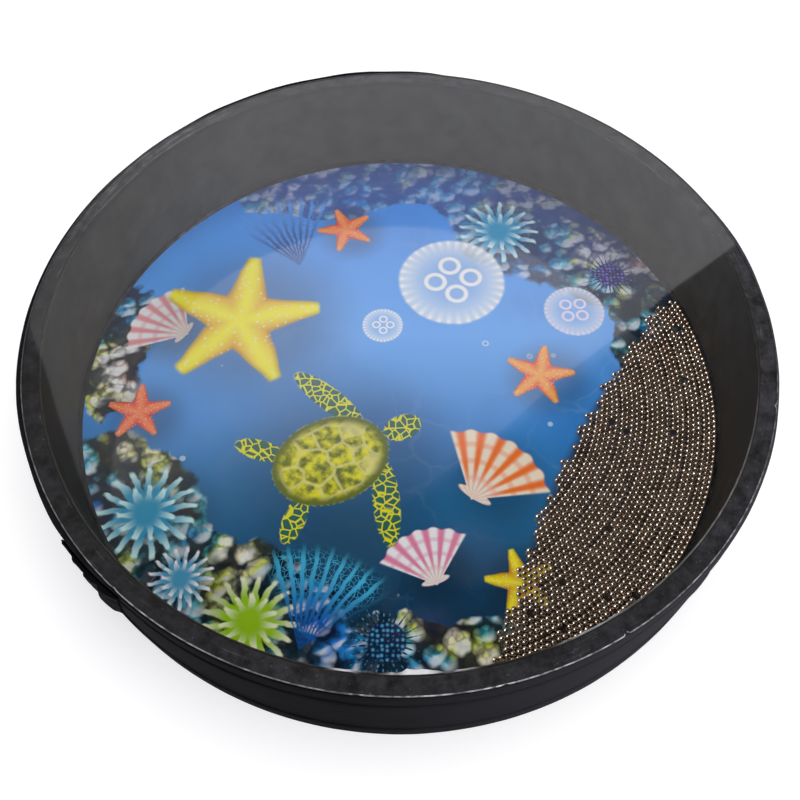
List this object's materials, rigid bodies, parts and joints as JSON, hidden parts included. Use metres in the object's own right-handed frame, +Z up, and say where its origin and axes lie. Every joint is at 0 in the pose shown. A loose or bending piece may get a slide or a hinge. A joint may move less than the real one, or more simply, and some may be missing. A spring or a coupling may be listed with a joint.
{
  "type": "ocean drum",
  "caption": "Shallow round hand drum with a clear head, a printed head and loose steel shot rolling between them.",
  "frame": {"origin": "centre of the underside, where the drum lies on a table with its printed head down", "axes": "+Z up through both heads, along the hoop's axis; +Y away from the picture's camera, +X to its right"},
  "size_m": [0.3052, 0.3052, 0.0518],
  "materials": {
    "plywood": "satin",
    "lining": "matte",
    "leathercloth": "satin",
    "clear_film": "gloss",
    "printed_film": "gloss",
    "black_glue": "satin",
    "milky_glue": "satin",
    "steel_shot": "polished"
  },
  "bodies": {
    "drum": {"shell": "plywood", "inner_lining": "lining", "outer_wrap": "leathercloth", "upper_strip": "leathercloth", "lower_hem": "leathercloth", "wrap_lap": "leathercloth", "clear_head": "clear_film", "printed_head": "printed_film", "top_glue": "black_glue", "bottom_glue": "black_glue", "top_bead_fillet": "milky_glue", "bottom_bead_fillet": "black_glue"},
    "outer_shot": {"shot_row_1": "steel_shot", "shot_row_2": "steel_shot", "shot_row_3": "steel_shot"},
    "middle_shot": {"shot_row_4": "steel_shot", "shot_row_5": "steel_shot", "shot_row_6": "steel_shot"},
    "inner_shot": {"shot_row_7": "steel_shot", "shot_row_8": "steel_shot", "shot_row_9": "steel_shot"},
    "loose_shot": {"shot_band_1": "steel_shot", "shot_band_2": "steel_shot", "shot_band_3": "steel_shot", "shot_band_4": "steel_shot"}
  },
  "joints": [
    {"name": "outer_swirl", "type": "hinge", "parent": "drum", "child": "outer_shot", "pos_m": [0, 0, 0], "axis": [0, 0, 1], "continuous": true},
    {"name": "middle_swirl", "type": "hinge", "parent": "drum", "child": "middle_shot", "pos_m": [0, 0, 0], "axis": [0, 0, 1], "continuous": true},
    {"name": "inner_swirl", "type": "hinge", "parent": "drum", "child": "inner_shot", "pos_m": [0, 0, 0], "axis": [0, 0, 1], "continuous": true},
    {"name": "wave", "type": "slide", "parent": "inner_shot", "child": "loose_shot", "axis": [-0.8878, 0.4602, 0], "range_m": [0, 0.155]}
  ]
}
